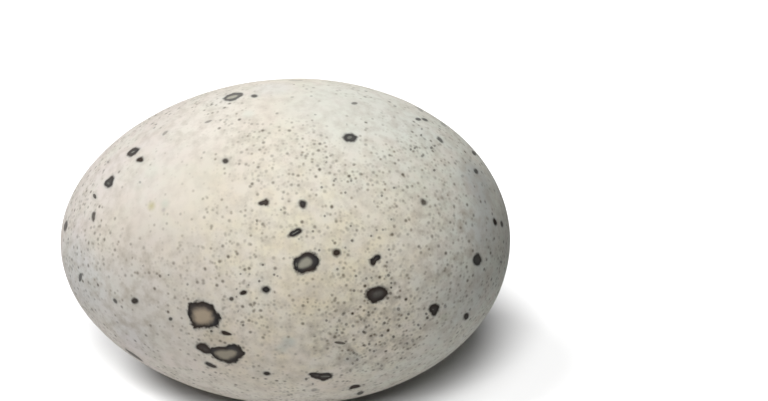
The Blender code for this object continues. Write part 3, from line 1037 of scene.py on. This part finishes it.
# %% Floors
FLOOR_HALF = 3.0
FLOOR_BRIGHTNESS, BOARD_BRIGHTNESS, FLAG_BRIGHTNESS = 0.65, 0.68, 0.12
BOARD_DROP = 0.05 * MM
FLAG_X, FLAG_FRONT, FLAG_BACK, FLAG_HEIGHT = 0.060, -0.060, 0.090, 0.060
PAINT_ROUGHNESS, PAINT_SHEEN = 0.9, 0.2


def plain_sheet(name, corners, brightness):
    """A sheet with those four corners, in matt paint that gives back that share of the light."""
    mesh = bpy.data.meshes.new(name)
    mesh.from_pydata(corners, [], [(0, 1, 2, 3)])
    paint = bpy.data.materials.new(name + "_paint")
    paint.use_nodes = True
    sockets = paint.node_tree.nodes["Principled BSDF"].inputs
    sockets["Base Color"].default_value = (brightness, brightness, brightness, 1.0)
    sockets["Roughness"].default_value = PAINT_ROUGHNESS
    sockets["Specular IOR Level"].default_value = PAINT_SHEEN
    mesh.materials.append(paint)
    sheet = bpy.data.objects.new(name, mesh)
    bpy.context.scene.collection.objects.link(sheet)
    return sheet


def level_sheet(name, height, brightness):
    """A square sheet at that height round the egg."""
    corners = [(x * FLOOR_HALF, y * FLOOR_HALF, height) for x, y in ((-1, -1), (1, -1), (1, 1), (-1, 1))]
    return plain_sheet(name, corners, brightness)


floor = level_sheet("floor", 0.0, FLOOR_BRIGHTNESS)
floor.visible_diffuse = floor.visible_glossy = floor.visible_shadow = False
board = level_sheet("board", -BOARD_DROP, BOARD_BRIGHTNESS)
board.visible_camera = False
flag_foot = [(FLAG_X, FLAG_FRONT, 0.0), (FLAG_X, FLAG_BACK, 0.0)]
flag_top = [(FLAG_X, FLAG_BACK, FLAG_HEIGHT), (FLAG_X, FLAG_FRONT, FLAG_HEIGHT)]
flag = plain_sheet("flag", flag_foot + flag_top, FLAG_BRIGHTNESS)
flag.visible_camera = flag.visible_shadow = False
print("floor and board:", FLOOR_HALF * 2, "m wide")

# %% [markdown]
# ## Light
#
# Sun lamps with wide discs stand for softboxes, because a sun lights a whole floor evenly. The strongest
# shines on the shell from the upper left and two weaker ones from straight above and from above the camera.
# A low one behind the egg brightens its upper edge, and another low one reaches the lower left of its
# belly. The white floor has lamps of its own, which don't reach the shell and keep its shadow short and
# deep. A direction is given by the side that the light comes from, turning round from the camera, and by
# its height, both in degrees. The world is white, but only as a reflection: the shell's sheen shows it
# along its edges, as it would in a white tent.

# %% Lamps
SHELL_LAMP_DISC, FLOOR_LAMP_DISC = 40.0, 24.0
SHELL_LAMPS = {
    # name: (side it shines from, height, share of the sun that just makes white paint facing it white)
    "softbox_left": (320.0, 66.0, 0.72),
    "softbox_front": (0.0, 66.0, 0.12),
    "softbox_over": (0.0, 90.0, 0.24),
    "glow_behind": (180.0, 18.0, 0.08),
    "low_left_front": (330.0, 18.0, 0.11),
}
FLOOR_LAMPS = {
    "floor_front": (0.0, 45.0, 1.17),
    "floor_left": (300.0, 58.0, 0.86),
    "floor_high": (0.0, 58.0, 0.65),
}


def hang_lamps(lamps, disc, lit):
    """Adds sun lamps by side, height and share, all with one disc, that shine on the listed objects alone."""
    receivers = bpy.data.collections.new("lit_" + lit[0].name)
    for thing in lit:
        receivers.objects.link(thing)
    for name, (side, height, share) in lamps.items():
        side, height = math.radians(side), math.radians(height)
        level_way = Vector((math.sin(side), -math.cos(side), 0.0))
        toward = level_way * math.cos(height) + Vector((0.0, 0.0, math.sin(height)))
        lamp_data = bpy.data.lights.new(name, "SUN")
        lamp_data.energy = share * math.pi
        lamp_data.angle = math.radians(disc)
        lamp = bpy.data.objects.new(name, lamp_data)
        lamp.rotation_euler = toward.to_track_quat("Z", "Y").to_euler()
        lamp.light_linking.receiver_collection = receivers
        bpy.context.scene.collection.objects.link(lamp)


hang_lamps(SHELL_LAMPS, SHELL_LAMP_DISC, [egg_shell, board, flag])
hang_lamps(FLOOR_LAMPS, FLOOR_LAMP_DISC, [floor])
world = bpy.data.worlds.new("studio")
world.use_nodes = True
surround = world.node_tree.nodes["Background"].inputs
surround["Color"].default_value = (1.0, 1.0, 1.0, 1.0)
surround["Strength"].default_value = 1.0
world.cycles_visibility.diffuse = False
bpy.context.scene.world = world
bpy.context.scene.view_settings.view_transform = "Standard"
print("lamps:", list(SHELL_LAMPS), list(FLOOR_LAMPS))

# %% [markdown]
# ## Hand over
#
# The shell stands in for the plain solid of the frame and moves with its only body. The floor, the board
# and the flag are the stage, which is no part of the egg.

# %% Hand over
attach(egg_shell, "root")
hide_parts("egg")
